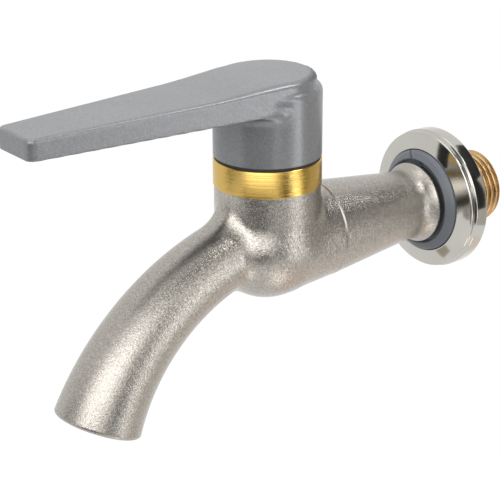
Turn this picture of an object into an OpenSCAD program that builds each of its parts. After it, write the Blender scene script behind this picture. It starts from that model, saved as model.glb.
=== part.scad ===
// Outdoor wall tap with a quarter-turn lever over a ball valve.
// Origin: on the pipe axis, in the plane of the wall. +Y runs into the wall, +Z is up.
// Sizes are in millimetres. The tap itself is drawn about its spindle and then set out from the wall.

/* [Placing] */
// Distance from the wall to the axis of the spindle
reach = 63; // [60:0.5:90]

/* [Inlet tube] */
// Outside diameter of the inlet thread, G 1/2
thread_d = 20.955; // [20.9:0.005:21]
// Length of the inlet thread behind the wall
thread_len = 14.5; // [10:0.5:30]
// Chamfer at the start of the inlet thread
thread_lead = 1; // [0.4:0.1:1.6]
// Depth of the plain shank under the thread's crests, inside the rosette
shank_relief = 0.3; // [0.2:0.05:0.8]
// Diameter of the waterway through the tube
tube_bore_d = 12.4; // [10:0.2:13]
// How much slimmer the tube is at its joint than the chamber, radially
joint_step = 1.15; // [0.6:0.05:1.4]
// Distance of that joint behind the ball
joint_off = 7; // [6.6:0.1:9]
// Chamfer on each side of the joint, which leaves a fine V groove
joint_bevel = 0.35; // [0.2:0.05:0.6]
// Diameter of the tube at its waist
waist_d = 19.6; // [19:0.1:21]
// Distance of the waist from the wall
waist_off = 15.7; // [15:0.1:18]
// Diameter of the flared foot
foot_d = 22.8; // [22:0.1:23.2]
// Radius of the hollow flare between waist and foot
flare_r = 6; // [4:0.5:9]
// Length of the round land at the foot
foot_land = 0.7; // [0.4:0.1:1.2]
// How much wider the spigot that is screwed into the casting is than the ball chamber, radially
spigot_step = 0.95; // [0.85:0.05:1.3]
// Length of that spigot
spigot_len = 7; // [6:0.1:7.4]
// Section diameter of the sealing ring at the joint
joint_ring_d = 1.52; // [1.2:0.02:1.6]
// Distance of that ring from the joint
joint_ring_y = 1.9; // [1.6:0.1:2.6]
// Radial clearance of screwed and pushed-in fits
fit_gap = 0.05; // [0.02:0.01:0.1]

/* [Casting] */
// Wall left round the ball chamber
chamber_wall = 4.1; // [3:0.1:5]
// How far the round end of the chamber lies in front of the spindle
chamber_lead = 1.2; // [0:0.1:3]
// Where the taper towards the joint starts, behind the spindle
taper_from = 3; // [0:0.5:6]
// How far the neck is set in from the chamber, radially
neck_step = 0.2; // [0.1:0.05:0.6]
// Height of the neck above the floor that carries the spindle
neck_h = 4.9; // [4.4:0.1:7]
// Wall of the spout
spout_wall = 2.2; // [1.6:0.1:3]
// Outside diameter where the spout leaves the chamber
spout_root_d = 18.7; // [17.6:0.1:19.6]
// Outside diameter of the mouth
mouth_d = 23.4; // [22:0.1:26]
// Radius of the bend along its centre line
bend_r = 64; // [56:0.5:80]
// Distance of the bend's centre behind the spindle
bend_back = 3.7; // [2:0.1:5]
// Height of the bend's crown above the pipe axis
bend_rise = 2.1; // [1:0.1:3]
// Angle through which the spout turns down
bend_sweep = 66.8; // [60:0.2:84]
// Angle at which the spout starts to widen
flare_from = 10; // [5:0.5:20]
// Rounding of the lip
lip_r = 1; // [0.6:0.1:1.2]
// Size of the blend on top of the spout, into the neck
root_blend = 7; // [4:0.5:9]
// Size of the blend under the spout, where it leaves the chamber
throat_blend = 4; // [2:0.5:6]

/* [Ball valve] */
// Diameter of the ball
ball_d = 20; // [19.6:0.1:20.6]
// Diameter of the port through the ball
port_d = 12; // [10:0.2:12.4]
// Gap between the ball and the chamber
ball_gap = 0.3; // [0.2:0.05:0.5]
// Gap between the ball and its seats
seat_gap = 0.05; // [0.03:0.01:0.1]
// How far a seat reaches over the ball, from the ball's end
seat_cover = 5.4; // [4.6:0.1:5.8]
// How far a seat's outer face lies short of the ball's end
seat_short = 1.6; // [1:0.1:2]
// Section diameter of the rings that press the seats
seat_ring_d = 1.3; // [1:0.1:1.5]
// Distance of those rings from the chamber's wall
seat_ring_in = 1.65; // [1.4:0.05:1.9]
// Width of the slot in the ball
slot_w = 3.6; // [3:0.1:4.2]
// Depth of the slot in the ball
slot_deep = 2.6; // [2:0.1:3]

/* [Spindle and bonnet] */
// Diameter of the spindle
spindle_d = 9; // [8:0.1:9.4]
// Radial running clearance of the spindle
run_gap = 0.05; // [0.02:0.01:0.09]
// Length of the tang across the ball
tang_len = 7.5; // [6:0.1:9]
// Clearance round the tang in its slot
tang_gap = 0.1; // [0.05:0.01:0.2]
// Diameter of the guide disc under the collar
guide_d = 11.8; // [10.6:0.1:12.6]
// Diameter of the spindle's collar
collar_d = 14; // [13:0.1:15]
// Thickness of the spindle's collar
collar_t = 1.5; // [1.2:0.1:2]
// Height above the ball of the floor that carries the collar
floor_over = 2; // [1.6:0.1:2.8]
// Thickness of the washer under the collar
lower_washer_t = 0.4; // [0.3:0.05:0.6]
// Thickness of the washer over the collar
upper_washer_t = 0.8; // [0.5:0.05:1]
// Axial play of the collar on each side
collar_play = 0.05; // [0.03:0.01:0.1]
// Wall of the neck round the screwed part of the bonnet
neck_wall = 3.2; // [2.9:0.1:3.5]
// How far the bonnet's bright ring stands proud of the neck
bonnet_step = 0.25; // [0.1:0.05:0.6]
// Height of the bonnet's bright ring
bonnet_h = 7.4; // [6:0.1:9]
// Bevel on the edges of the ring
bonnet_bevel = 0.3; // [0.1:0.05:0.5]
// Width of the sealing washer under the bonnet
bonnet_seal_w = 1.7; // [1.2:0.1:2]
// Thickness of the sealing washer under the bonnet
bonnet_seal_t = 1; // [0.6:0.1:1.4]
// Gap between the bonnet's hub and the boss around it
hub_gap = 1.1; // [0.6:0.1:1.4]
// Height of that hub over the ring
hub_h = 2.9; // [2:0.1:4]
// Section diameter of the spindle's sealing rings
oring_d = 1.4; // [1.2:0.05:1.6]
// Height of the lower sealing ring
oring_z = 18.2; // [17:0.1:19]
// Distance between the two sealing rings
oring_step = 4; // [2.4:0.1:5]

/* [Quarter turn] */
// Angle through which the lever turns
turn = 90; // [80:1:100]
// Width of the stop tab as an angle
tab_angle = 40; // [30:1:50]
// Clearance at each end of the turn as an angle
stop_gap_angle = 0.9; // [0.5:0.1:2]
// Radial width of the stop rim
stop_rim_w = 1.8; // [1.4:0.1:2.2]
// Thickness of the stop washer
stop_t = 1.4; // [1:0.1:2]
// Size of the square drive across its flats
drive_w = 6.4; // [6:0.1:6.6]
// Height of the square drive above the stop washer
drive_h = 9.4; // [8:0.1:9.8]
// Radial width of the circlip
clip_w = 2.5; // [2:0.1:3.2]
// Depth of the groove for the circlip
clip_groove_deep = 1; // [0.7:0.1:1.1]
// Opening of the circlip as an angle
clip_open = 60; // [40:5:90]
// Thickness of the circlip
clip_t = 0.8; // [0.6:0.1:1]

/* [Lever] */
// How far the lever's boss is set in from the bonnet's ring, radially
boss_step = 0.05; // [0:0.05:0.4]
// Wall of the boss
boss_wall = 2.5; // [1.6:0.1:2.6]
// Gap between bonnet and boss, partly filled by a black washer
boss_gap = 0.6; // [0.4:0.05:1]
// Height of the boss up to its shoulder
boss_h = 18.9; // [17:0.1:22]
// Rounding of the shoulder
shoulder_r = 1.6; // [0.8:0.1:2.2]
// Height of the underside of the lever above the boss's lower edge
arm_rise = 14.2; // [13.6:0.1:16]
// Thickness of the lever over the spindle
arm_t = 7; // [6:0.1:9]
// Fall of the top face towards the tip, in degrees
arm_fall = 1.15; // [0:0.05:1.6]
// How far the lever's round rear end is set in from its boss
arm_set_in = 0.5; // [0.2:0.1:1.4]
// Length of the lever from the spindle to its tip
arm_len = 75.6; // [60:0.2:100]
// Width of the lever at its tip
tip_w = 15.7; // [12:0.1:20]
// Radius of the corners of the tip
tip_corner_r = 2.2; // [1.6:0.1:3]
// Rounding of the top edge
arm_edge_r = 1; // [0.6:0.1:1.4]
// Wall left round the hollow underside
arm_wall = 2.2; // [1.8:0.1:3]
// Depth of the hollow underside
arm_hollow = 3.2; // [2:0.1:3.6]
// Distance of the hollow from the spindle
hollow_from = 18; // [16:0.5:24]
// Width of the rib along the hollow
rib_w = 1.6; // [1.2:0.1:2.4]
// Diameter of the hub that grips the square drive
grip_d = 16; // [14:0.1:17]
// Diameter of the grub screw
grub_d = 5; // [4:0.1:5.4]
// Length of the grub screw
grub_len = 5; // [4:0.1:6]
// Socket of the grub screw across its flats
grub_socket = 2.5; // [2:0.1:2.6]
// Height of the grub screw above the boss's lower edge
grub_z = 9.6; // [8.6:0.1:10.4]

/* [Rosette] */
// Diameter of the rear bead of the rosette
rosette_d = 40; // [38:0.1:44]
// How far the front bead is set in from the rear bead, radially
front_bead_step = 0.35; // [0:0.05:1]
// Width of the rear bead
rear_bead_w = 4.2; // [3:0.1:5]
// Width of the front bead
front_bead_w = 0.3; // [0.2:0.1:1.3]
// Width of the groove between the beads
bead_groove_w = 1; // [0.6:0.1:1.4]
// Depth of the groove between the beads
bead_groove_deep = 0.8; // [0.4:0.1:1.4]
// Thickness of the rosette at its mouth
rosette_h = 7.75; // [7.3:0.05:10]
// Thickness of the split ring round the shank, which the rosette's mouth holds
split_t = 4.5; // [3.8:0.1:5]
// Thickness of the inner lip that stops the split ring
rosette_lip_t = 1.2; // [0.8:0.1:1.6]
// How far that lip reaches in
rosette_lip_w = 2.3; // [1.6:0.1:3]
// Wall of the rosette round the gasket
gasket_wall = 2; // [1.6:0.1:3]
// Thickness of the gasket
gasket_t = 2.4; // [1.6:0.1:2.6]
// Gap between the gasket and the thread
gasket_gap = 0.3; // [0.2:0.1:0.6]
// How far the gasket stands proud of the rosette
gasket_proud = 0.4; // [0.2:0.1:0.8]

/* [Split ring] */
// How far the split ring stands out of the rosette
split_proud = 1.65; // [1:0.05:2.4]
// Gap between the split ring and the foot
split_mouth_gap = 0.6; // [0.4:0.1:1]
// Thickness of the split ring's front lip
split_lip_t = 1.5; // [1:0.1:1.8]
// Size of the split ring's rounded nose
split_nose = 0.4; // [0.2:0.05:0.5]
// Width of the slit
slit_w = 0.5; // [0.3:0.1:1]
// Place of the slit round the ring, in degrees from +X
slit_angle = 103; // [0:1:359]
// Slant of the slit across the ring, in degrees
slit_slant = 44; // [0:1:45]

/* [Hidden] */
$fn = 72;
hair = 0.01;
over = 1;

nickel = [0.71, 0.69, 0.66];
bright = [0.82, 0.81, 0.78];
brass = [0.80, 0.63, 0.28];
grey = [0.60, 0.61, 0.63];
dark_grey = [0.42, 0.44, 0.46];
black = [0.10, 0.10, 0.11];
white = [0.92, 0.92, 0.90];
steel = [0.62, 0.63, 0.65];

// Inlet thread and its shank
thread_r = thread_d / 2;
shank_r = thread_r - shank_relief;

// Ball chamber
ball_r = ball_d / 2;
bore_r = ball_r + ball_gap;
chamber_r = bore_r + chamber_wall;
port_r = port_d / 2;
seat_r = bore_r - fit_gap;
seat_face = ball_r - seat_cover;
seat_back = ball_r - seat_short;
seat_ring_r = bore_r - seat_ring_in;
ring_groove_w = seat_ring_d + 0.2;
joint_r = chamber_r - joint_step;
joint_y = ball_r + joint_off;
spigot_r = bore_r + spigot_step;
spigot_start = joint_y - spigot_len;
thread_bore_r = spigot_r + fit_gap;

// Neck, bonnet and spindle heights
neck_r = chamber_r - neck_step;
floor_z = ball_r + floor_over;
neck_top = floor_z + neck_h;
screw_r = neck_r - neck_wall;
bonnet_r = neck_r + bonnet_step;
collar_z = floor_z + lower_washer_t + collar_play;
collar_top = collar_z + collar_t;
upper_washer_z = collar_top + collar_play;
bonnet_roof_z = upper_washer_z + upper_washer_t;
bonnet_foot_z = floor_z + 0.3;
ring_top_z = neck_top + bonnet_h;
hub_top_z = ring_top_z + hub_h;
stop_z = hub_top_z + collar_play;
clip_z = stop_z + stop_t + collar_play;
drive_top = stop_z + stop_t + drive_h;
boss_r = bonnet_r - boss_step;
cavity_r = boss_r - boss_wall;
hub_r = cavity_r - hub_gap;
rim_in_r = hub_r - stop_rim_w;
clip_groove_r = spindle_d / 2 - clip_groove_deep;
tab_rest = 90 + turn / 2;

// Lever heights
boss_z = ring_top_z + boss_gap;
arm_z = boss_z + arm_rise;
arm_rear_r = boss_r - arm_set_in;
cavity_top = arm_z - 0.6;
grip_z = clip_z + clip_t + 0.3;
tip_r_y = arm_len - tip_corner_r;
tip_r_x = tip_w / 2 - tip_corner_r;

// Distances behind the spindle on the wall side
flare_y = reach - waist_off;
tube_taper = (joint_r - waist_d / 2) / (flare_y - joint_y);

// Rosette and split ring
rosette_mouth_r = shank_r + split_t;
gasket_r = rosette_d / 2 - gasket_wall;

// Cast skin. The spout and its blends into the neck and the chamber are one swept skin. It is set
// a little inside the turned surfaces, so that it comes out of them only where it leaves them.
skin_under = 0.2;
skin_sides = 40;
skin_steps = 30;
skin_cap = neck_top - 0.2;
skin_lean = 30;
lean_end = 26;
root_r = spout_root_d / 2;
mouth_r = mouth_d / 2;
bend_z = bend_rise - bend_r;
chamber_taper = joint_step / (joint_y - taper_from);

function smooth_min(a, b, k) = let (h = max(k - abs(a - b), 0) / k) min(a, b) - h * h * k / 4;
function spout_r(a) = root_r + (mouth_r - root_r) * pow(max(a - flare_from, 0) / (bend_sweep - flare_from), 2);
function bend_at(a) = [0, bend_back - bend_r * sin(a), bend_z + bend_r * cos(a)];
function bend_angle(p) = min(max(atan2(bend_back - p.y, p.z - bend_z), 0), bend_sweep);
function blend_at(z) = throat_blend + (root_blend - throat_blend) * min(max(z / ball_r + 1, 0), 1);
function outer_gap(p) =
    let (chamber = norm([p.x, min(p.y + chamber_lead, 0), p.z])
            - (chamber_r - skin_under - max(p.y - taper_from, 0) * chamber_taper),
        neck = norm([p.x, p.y, min(p.z, 0)]) - (neck_r - skin_under),
        a = bend_angle(p),
        spout = norm(p - bend_at(a)) - spout_r(a))
    max(p.z - skin_cap, smooth_min(min(chamber, neck), spout, blend_at(p.z)));
function skin_reach(c, d, near, far, n) =
    let (m = (near + far) / 2)
    n == 0 ? m : outer_gap(c + d * m) > 0 ? skin_reach(c, d, near, m, n - 1) : skin_reach(c, d, m, far, n - 1);
function across(a, t) = [sin(t), -sin(a) * cos(t), cos(a) * cos(t)];
function skin_ray(a, t) =
    let (lean = skin_lean * max(0, 1 - pow(a / lean_end, 2)) * (1 + cos(t)) / 2)
    across(a + lean, t);

// Faces of a skin of rings with the same number of sides; two more points close its ends
function ring_faces(rings, sides) =
    let (first = rings * sides, last = first + 1, end = (rings - 1) * sides)
    [for (j = [0 : sides - 1]) let (k = (j + 1) % sides)
        each concat([[first, k, j], [last, end + j, end + k]],
            [for (i = [0 : rings - 2]) each [[i * sides + j, i * sides + k, (i + 1) * sides + j],
                [i * sides + k, (i + 1) * sides + k, (i + 1) * sides + j]]])];

module at_spindle() {
    translate([0, -reach, 0]) children();
}

module along_pipe(y = 0) {
    translate([0, y, 0]) rotate([-90, 0, 0]) children();
}

module ring(r_in, r_out, h) {
    difference() {
        cylinder(r = r_out, h = h);
        translate([0, 0, -over]) cylinder(r = r_in, h = h + 2 * over);
    }
}

module oring(pitch_r, section_r) {
    rotate_extrude() translate([pitch_r, 0]) circle(r = section_r, $fn = 32);
}

// Spout with its blends into neck and chamber
module spout_skin() {
    turns = [for (i = [0 : skin_steps]) let (t = i / skin_steps)
        bend_sweep * (0.45 * t + 0.55 * pow(t, 3))];
    lip = [for (i = [1 : 3]) 90 * i / 3];
    end_c = bend_at(bend_sweep);
    along = [0, -cos(bend_sweep), -sin(bend_sweep)];
    points = concat(
        [for (a = turns, j = [0 : skin_sides - 1])
            let (c = bend_at(a), d = skin_ray(a, j * 360 / skin_sides))
            c + d * skin_reach(c, d, 0, 2 * chamber_r, 20)],
        [for (t = lip, j = [0 : skin_sides - 1])
            end_c + along * lip_r * sin(t)
                + across(bend_sweep, j * 360 / skin_sides) * (mouth_r - lip_r * (1 - cos(t)))],
        [bend_at(0), end_c + along * lip_r]);
    polyhedron(points, ring_faces(len(turns) + len(lip), skin_sides));
}

// Cast waterway of the spout, opened out a little at the lip
module spout_bore() {
    sides = 32;
    steps = 16;
    from = 12;
    flare = [[0, 0], [lip_r - 0.6, 0], [lip_r + over, 1.6]];
    end_c = bend_at(bend_sweep);
    along = [0, -cos(bend_sweep), -sin(bend_sweep)];
    points = concat(
        [for (i = [0 : steps - 1], j = [0 : sides - 1])
            let (a = from + (bend_sweep - from) * i / steps)
            bend_at(a) + across(a, j * 360 / sides) * (spout_r(a) - spout_wall)],
        [for (f = flare, j = [0 : sides - 1])
            end_c + along * f[0] + across(bend_sweep, j * 360 / sides) * (mouth_r - spout_wall + f[1])],
        [bend_at(from), end_c + along * (lip_r + over)]);
    polyhedron(points, ring_faces(steps + len(flare), sides));
}

// Turned outside of the chamber with its round front end and its taper towards the joint
module chamber_form() {
    steps = 8;
    front = [for (i = [0 : steps]) let (a = -90 + 90 * i / steps)
        [chamber_r * cos(a), chamber_r * sin(a) - chamber_lead]];
    along_pipe() rotate_extrude() polygon(concat(front, [
        [chamber_r, taper_from],
        [joint_r + chamber_taper * joint_bevel, joint_y - joint_bevel],
        [joint_r - joint_bevel, joint_y],
        [0, joint_y]]));
}

module cast_body() {
    color(nickel) at_spindle() difference() {
        union() {
            chamber_form();
            cylinder(r = neck_r, h = neck_top);
            spout_skin();
        }
        along_pipe(-seat_back) cylinder(r = bore_r, h = seat_back + joint_y + over);
        along_pipe(spigot_start - 0.8) cylinder(r = thread_bore_r, h = spigot_len + 0.8 + over);
        along_pipe(-seat_back - seat_ring_d)
            ring(seat_ring_r - ring_groove_w / 2, seat_ring_r + ring_groove_w / 2, seat_ring_d + hair);
        along_pipe(-chamber_r) cylinder(r = port_r, h = chamber_r);
        spout_bore();
        cylinder(r = guide_d / 2 + 2 * run_gap, h = neck_top);
        translate([0, 0, floor_z]) cylinder(r = screw_r + fit_gap, h = neck_top);
        translate([0, 0, neck_top - bonnet_seal_t])
            cylinder(r = screw_r + bonnet_seal_w + 2 * fit_gap, h = bonnet_seal_t + over);
    }
}

// Tube with the screwed spigot, the tapered and flared sleeve and the inlet thread
module inlet_tube() {
    steps = 8;
    joint_ring_r = joint_ring_d / 2;
    groove_w = joint_ring_d + 0.4;
    groove_r = spigot_r - 2 * joint_ring_r - 0.04;
    groove_y = joint_y - joint_ring_y - groove_w / 2;
    turn_in = atan(tube_taper);
    turn_out = acos(cos(turn_in) - (foot_d - waist_d) / 2 / flare_r);
    flare = [for (i = [0 : steps]) let (a = -turn_in + (turn_out + turn_in) * i / steps)
        [waist_d / 2 + flare_r * (cos(turn_in) - cos(a)), flare_y + flare_r * (sin(turn_in) + sin(a))]];
    flare_end = flare_y + flare_r * (sin(turn_in) + sin(turn_out));
    profile = concat([
        [tube_bore_d / 2, seat_back],
        [seat_r - fit_gap, seat_back],
        [seat_r - fit_gap, spigot_start],
        [spigot_r, spigot_start],
        [spigot_r, groove_y],
        [groove_r, groove_y],
        [groove_r, groove_y + groove_w],
        [spigot_r, groove_y + groove_w],
        [spigot_r, joint_y],
        [joint_r - joint_bevel, joint_y],
        [joint_r, joint_y + joint_bevel]],
        flare, [
        [foot_d / 2, flare_end + foot_land],
        [shank_r, flare_end + foot_land],
        [shank_r, reach],
        [thread_r, reach],
        [thread_r, reach + thread_len - thread_lead],
        [thread_r - thread_lead, reach + thread_len],
        [tube_bore_d / 2, reach + thread_len]]);
    color(nickel) at_spindle() along_pipe() difference() {
        rotate_extrude() polygon(profile);
        translate([0, 0, seat_back - hair])
            ring(seat_ring_r - ring_groove_w / 2, seat_ring_r + ring_groove_w / 2, seat_ring_d + hair);
    }
}

module joint_oring() {
    joint_ring_r = joint_ring_d / 2;
    color(black) at_spindle() along_pipe(joint_y - joint_ring_y) oring(spigot_r - joint_ring_r, joint_ring_r);
}

// Seat with a hollow that follows the ball; side is -1 in front of the ball and 1 behind it
module seat(side) {
    color(white) at_spindle() difference() {
        along_pipe(side > 0 ? seat_face : -seat_back) ring(port_r + 0.2, seat_r, seat_back - seat_face);
        sphere(r = ball_r + seat_gap);
    }
}

module front_seat() {
    seat(-1);
}

module rear_seat() {
    seat(1);
}

module seat_orings() {
    color(black) at_spindle() for (side = [-1, 1])
        along_pipe(side * (seat_back + seat_ring_d / 2)) oring(seat_ring_r, seat_ring_d / 2 - 0.02);
}

module ball() {
    color(bright) at_spindle() difference() {
        sphere(r = ball_r);
        along_pipe(-ball_d) cylinder(r = port_r, h = 2 * ball_d);
        translate([-ball_d, -slot_w / 2, ball_r - slot_deep]) cube([2 * ball_d, slot_w, ball_d]);
    }
}

module square_drive(w, z, h) {
    translate([-w / 2, -w / 2, z]) cube([w, w, h]);
}

module spindle() {
    tang_w = slot_w - 2 * tang_gap;
    groove_h = oring_d + 0.4;
    color(brass) at_spindle() difference() {
        union() {
            translate([-tang_len / 2, -tang_w / 2, ball_r - slot_deep + 3 * tang_gap])
                cube([tang_len, tang_w, collar_z - ball_r + slot_deep - 3 * tang_gap + hair]);
            translate([0, 0, bore_r + ball_gap]) cylinder(r = guide_d / 2, h = collar_z - bore_r - ball_gap);
            translate([0, 0, collar_z]) cylinder(r = collar_d / 2, h = collar_t);
            translate([0, 0, collar_z]) cylinder(r = spindle_d / 2, h = hub_top_z - collar_z);
            intersection() {
                square_drive(drive_w, hub_top_z - over, drive_top - hub_top_z + over);
                translate([0, 0, collar_z]) cylinder(r = spindle_d / 2, h = drive_top - collar_z);
            }
        }
        for (i = [0, 1]) translate([0, 0, oring_z + i * oring_step - groove_h / 2])
            ring(spindle_d / 2 - oring_d, spindle_d, groove_h);
        translate([0, 0, clip_z - hair]) ring(clip_groove_r, spindle_d, clip_t + 2 * hair);
    }
}

module spindle_orings() {
    color(black) at_spindle() for (i = [0, 1])
        translate([0, 0, oring_z + i * oring_step]) oring((spindle_d - oring_d) / 2, oring_d / 2 - 0.02);
}

module lower_washer() {
    color(white) at_spindle() translate([0, 0, floor_z])
        ring(guide_d / 2 + 2 * run_gap, collar_d / 2, lower_washer_t);
}

module upper_washer() {
    color(white) at_spindle() translate([0, 0, upper_washer_z])
        ring(spindle_d / 2 + 2 * run_gap, collar_d / 2, upper_washer_t);
}

// Bright ring that screws into the neck, carries the spindle and stops the lever
module bonnet() {
    cavity = collar_d / 2 + 0.3;
    window = turn + tab_angle + 2 * stop_gap_angle;
    rim_top_z = stop_z + stop_t;
    color(brass) at_spindle() difference() {
        rotate_extrude() polygon([
            [cavity, bonnet_foot_z],
            [screw_r, bonnet_foot_z],
            [screw_r, neck_top],
            [bonnet_r - bonnet_bevel, neck_top],
            [bonnet_r, neck_top + bonnet_bevel],
            [bonnet_r, ring_top_z - bonnet_bevel],
            [bonnet_r - bonnet_bevel, ring_top_z],
            [hub_r, ring_top_z],
            [hub_r, rim_top_z],
            [rim_in_r, rim_top_z],
            [rim_in_r, hub_top_z],
            [spindle_d / 2 + run_gap, hub_top_z],
            [spindle_d / 2 + run_gap, bonnet_roof_z],
            [cavity, bonnet_roof_z]]);
        translate([0, 0, hub_top_z]) rotate([0, 0, 90 - window / 2]) rotate_extrude(angle = window)
            translate([rim_in_r - 0.2, 0]) square([stop_rim_w + over, rim_top_z]);
    }
}

module bonnet_seal() {
    color(black) at_spindle() translate([0, 0, neck_top - bonnet_seal_t])
        ring(screw_r + fit_gap, screw_r + bonnet_seal_w, bonnet_seal_t);
}

// Washer on the square drive; its tab runs in the gap of the bonnet's rim
module stop_washer() {
    color(steel) at_spindle() translate([0, 0, stop_z]) difference() {
        union() {
            cylinder(r = rim_in_r - 0.3, h = stop_t);
            rotate([0, 0, tab_rest - tab_angle / 2]) rotate_extrude(angle = tab_angle)
                translate([rim_in_r - stop_rim_w, 0]) square([2 * stop_rim_w - 0.2, stop_t]);
        }
        square_drive(drive_w + 2 * fit_gap, -over, stop_t + 2 * over);
    }
}

module circlip() {
    color(steel) at_spindle() translate([0, 0, clip_z]) rotate([0, 0, clip_open / 2])
        rotate_extrude(angle = 360 - clip_open) translate([clip_groove_r + fit_gap, 0])
            square([clip_w - fit_gap, clip_t]);
}

module slip_washer() {
    color(black) at_spindle() translate([0, 0, ring_top_z]) ring(cavity_r, boss_r - 0.4, boss_gap - 0.1);
}

// Plan outline of the arm as discs, drawn in by inset and dropped by drop below the top face
module arm_discs(inset, h) {
    cylinder(r = arm_rear_r - inset, h = h, $fn = 48);
    for (side = [-1, 1]) translate([side * tip_r_x, -tip_r_y, 0])
        cylinder(r = tip_corner_r - inset, h = h, $fn = 24);
}

module arm_form() {
    hull() {
        translate([0, 0, arm_z]) arm_discs(0, hair);
        translate([0, 0, arm_z + arm_t]) rotate([arm_fall, 0, 0]) for (t = [0, 30, 60, 90])
            translate([0, 0, -hair - arm_edge_r * (1 - sin(t))]) arm_discs(arm_edge_r * (1 - cos(t)), hair);
    }
}

function arm_half(y) = tip_w / 2 + (arm_rear_r - tip_w / 2) * (arm_len - y) / arm_len;

// Two long pockets under the arm with a rib between them
module arm_pockets() {
    far = arm_len - arm_wall;
    for (side = [-1, 1]) translate([0, 0, arm_z - over]) linear_extrude(arm_hollow + over) polygon([
        [side * rib_w / 2, -hollow_from],
        [side * (arm_half(hollow_from) - arm_wall), -hollow_from],
        [side * (arm_half(far) - arm_wall), -far],
        [side * rib_w / 2, -far]]);
}

module lever() {
    steps = 6;
    shoulder_z = boss_z + boss_h;
    shoulder = [for (i = [0 : steps]) let (a = 90 * i / steps)
        [boss_r - shoulder_r * (1 - cos(a)), shoulder_z - shoulder_r * (1 - sin(a))]];
    color(grey) at_spindle() difference() {
        union() {
            rotate_extrude() polygon(concat([
                [cavity_r, boss_z], [boss_r, boss_z]], shoulder, [
                [0, shoulder_z], [0, cavity_top], [cavity_r, cavity_top]]));
            translate([0, 0, grip_z]) cylinder(r = grip_d / 2, h = cavity_top - grip_z + hair);
            arm_form();
        }
        arm_pockets();
        square_drive(drive_w + 2 * fit_gap, grip_z - over, drive_top - grip_z + over + 0.3);
        translate([0, 0, boss_z + grub_z]) along_pipe() cylinder(r = grub_d / 2 + fit_gap, h = 2 * boss_r);
    }
}

module grub_screw() {
    color(steel) at_spindle() translate([0, 0, boss_z + grub_z]) along_pipe(drive_w / 2 + fit_gap)
        difference() {
            cylinder(r = grub_d / 2, h = grub_len);
            translate([0, 0, grub_len / 2]) cylinder(d = grub_socket / cos(30), h = grub_len, $fn = 6);
        }
}

// Wall rosette with two turned beads and a hollow for the gasket
module rosette() {
    rim_y = -gasket_proud;
    rear_r = rosette_d / 2;
    front_r = rear_r - front_bead_step;
    ease = 0.4;
    groove_y = rim_y - rear_bead_w;
    front_y = groove_y - bead_groove_w;
    crown_y = front_y - front_bead_w;
    lip_y = -gasket_t - rosette_lip_t;
    steps = 4;
    crown_edge = [for (i = [0 : steps]) let (a = 90 * i / steps)
        [front_r - ease * (1 - cos(a)), crown_y - ease * sin(a)]];
    color(bright) along_pipe() rotate_extrude() polygon(concat([
        [gasket_r + 2 * fit_gap, rim_y],
        [rear_r - ease, rim_y],
        [rear_r, rim_y - ease],
        [rear_r, groove_y + ease / 2],
        [front_r - bead_groove_deep, groove_y - bead_groove_w / 2],
        [front_r, front_y]],
        crown_edge, [
        [rosette_mouth_r + ease, -rosette_h],
        [rosette_mouth_r, -rosette_h + ease / 2],
        [rosette_mouth_r, lip_y],
        [rosette_mouth_r - rosette_lip_w, lip_y],
        [rosette_mouth_r - rosette_lip_w, -gasket_t],
        [gasket_r + 2 * fit_gap, -gasket_t]]));
}

// Plastic ring that grips the thread and centres the rosette
module split_ring() {
    out_r = rosette_mouth_r - fit_gap;
    inner_r = foot_d / 2 + split_mouth_gap;
    grip_r = shank_r + fit_gap;
    face_y = -rosette_h - split_proud;
    step_y = face_y + split_lip_t;
    back_y = -gasket_t - rosette_lip_t;
    color(dark_grey) difference() {
        along_pipe() rotate_extrude() polygon([
            [inner_r, face_y],
            [inner_r + split_nose, face_y - split_nose / 2],
            [out_r - 2 * split_nose, face_y + 2 * split_nose],
            [out_r, face_y + 4 * split_nose],
            [out_r, back_y],
            [grip_r, back_y],
            [grip_r, step_y],
            [inner_r, step_y]]);
        rotate([0, -slit_angle, 0]) translate([(inner_r + out_r) / 2, -reach, 0]) rotate([0, -slit_slant, 0])
            translate([-1.5 * split_t, 0, -slit_w / 2]) cube([2.2 * split_t, reach, slit_w]);
    }
}

module wall_gasket() {
    color(black) along_pipe(-gasket_t) ring(thread_r + gasket_gap, gasket_r, gasket_t);
}

cast_body();
inlet_tube();
joint_oring();
front_seat();
rear_seat();
seat_orings();
ball();
spindle();
spindle_orings();
lower_washer();
upper_washer();
bonnet();
bonnet_seal();
stop_washer();
circlip();
slip_washer();
lever();
grub_screw();
rosette();
split_ring();
wall_gasket();
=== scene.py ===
import bpy
import math
import numpy as np
from mathutils import Matrix, Vector


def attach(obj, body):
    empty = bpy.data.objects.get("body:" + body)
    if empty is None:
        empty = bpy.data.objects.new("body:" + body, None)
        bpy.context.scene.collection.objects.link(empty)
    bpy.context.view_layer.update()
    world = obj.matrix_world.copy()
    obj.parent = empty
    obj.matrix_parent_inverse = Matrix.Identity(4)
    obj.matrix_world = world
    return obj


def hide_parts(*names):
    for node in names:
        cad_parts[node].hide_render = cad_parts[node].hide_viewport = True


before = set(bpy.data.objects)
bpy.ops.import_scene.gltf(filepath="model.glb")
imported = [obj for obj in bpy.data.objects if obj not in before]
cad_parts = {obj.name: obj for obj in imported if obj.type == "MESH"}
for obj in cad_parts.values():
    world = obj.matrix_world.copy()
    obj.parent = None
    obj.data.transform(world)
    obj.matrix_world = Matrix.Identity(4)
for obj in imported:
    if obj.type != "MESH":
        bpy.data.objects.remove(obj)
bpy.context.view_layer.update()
mm = 0.001
spindleY = -63 * mm  # the spindle stands this far in front of the wall


# small helpers for modelling

def deselectAll():
    if bpy.context.object and bpy.context.object.mode != "OBJECT":
        bpy.ops.object.mode_set(mode="OBJECT")
    bpy.ops.object.select_all(action="DESELECT")


def makeActive(piece):
    deselectAll()
    piece.select_set(True)
    bpy.context.view_layer.objects.active = piece


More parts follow.
